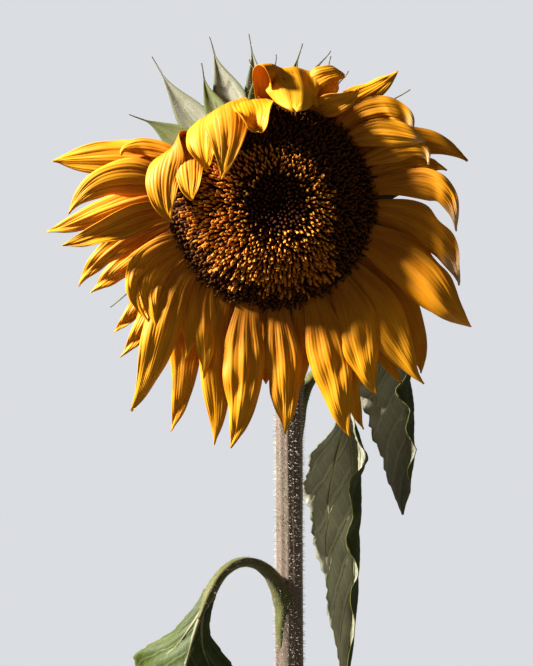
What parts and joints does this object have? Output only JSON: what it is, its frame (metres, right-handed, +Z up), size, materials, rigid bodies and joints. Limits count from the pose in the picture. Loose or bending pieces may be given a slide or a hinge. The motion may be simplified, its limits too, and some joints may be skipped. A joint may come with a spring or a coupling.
{
  "type": "sunflower plant",
  "caption": "Tall single-stemmed sunflower with a nodding flower head, folded yellow ray florets, green bracts and limp hanging leaves.",
  "frame": {"origin": "centre of the flat cut under the stem, at ground level", "axes": "+Z up along the stem; the flower head faces -Y; +X to the right seen from the front"},
  "size_m": [0.2916, 0.2536, 1.3051],
  "materials": {
    "stem": "green fibrous stem with short white bristles",
    "leaf_stalk": "green leaf stalk with fine hairs",
    "receptacle": "matt green, finely hairy",
    "disc": "dense dark brown florets with orange tips",
    "ray_floret": "golden yellow, ribbed lengthwise, satin",
    "bract": "grey-green, hairy",
    "leaf": "matt green above, pale grey-green and veined below"
  },
  "bodies": {
    "root": {"stem": "stem", "neck": "stem", "receptacle": "receptacle", "disc": "disc", "ray_florets_left": "ray_floret", "ray_florets_lower_left": "ray_floret", "ray_florets_bottom": "ray_floret", "ray_florets_lower_right": "ray_floret", "ray_florets_right": "ray_floret", "ray_florets_top": "ray_floret", "bracts_inner": "bract", "bracts_outer": "bract", "leaf_stalk_01": "leaf_stalk", "leaf_blade_01": "leaf", "leaf_stalk_02": "leaf_stalk", "leaf_blade_02": "leaf", "leaf_stalk_03": "leaf_stalk", "leaf_blade_03": "leaf", "leaf_stalk_04": "leaf_stalk", "leaf_blade_04": "leaf", "leaf_stalk_05": "leaf_stalk", "leaf_blade_05": "leaf", "leaf_stalk_06": "leaf_stalk", "leaf_blade_06": "leaf", "leaf_stalk_07": "leaf_stalk", "leaf_blade_07": "leaf", "leaf_stalk_08": "leaf_stalk", "leaf_blade_08": "leaf", "leaf_stalk_09": "leaf_stalk", "leaf_blade_09": "leaf", "leaf_stalk_10": "leaf_stalk", "leaf_blade_10": "leaf", "leaf_stalk_11": "leaf_stalk", "leaf_blade_11": "leaf"}
  },
  "joints": []
}
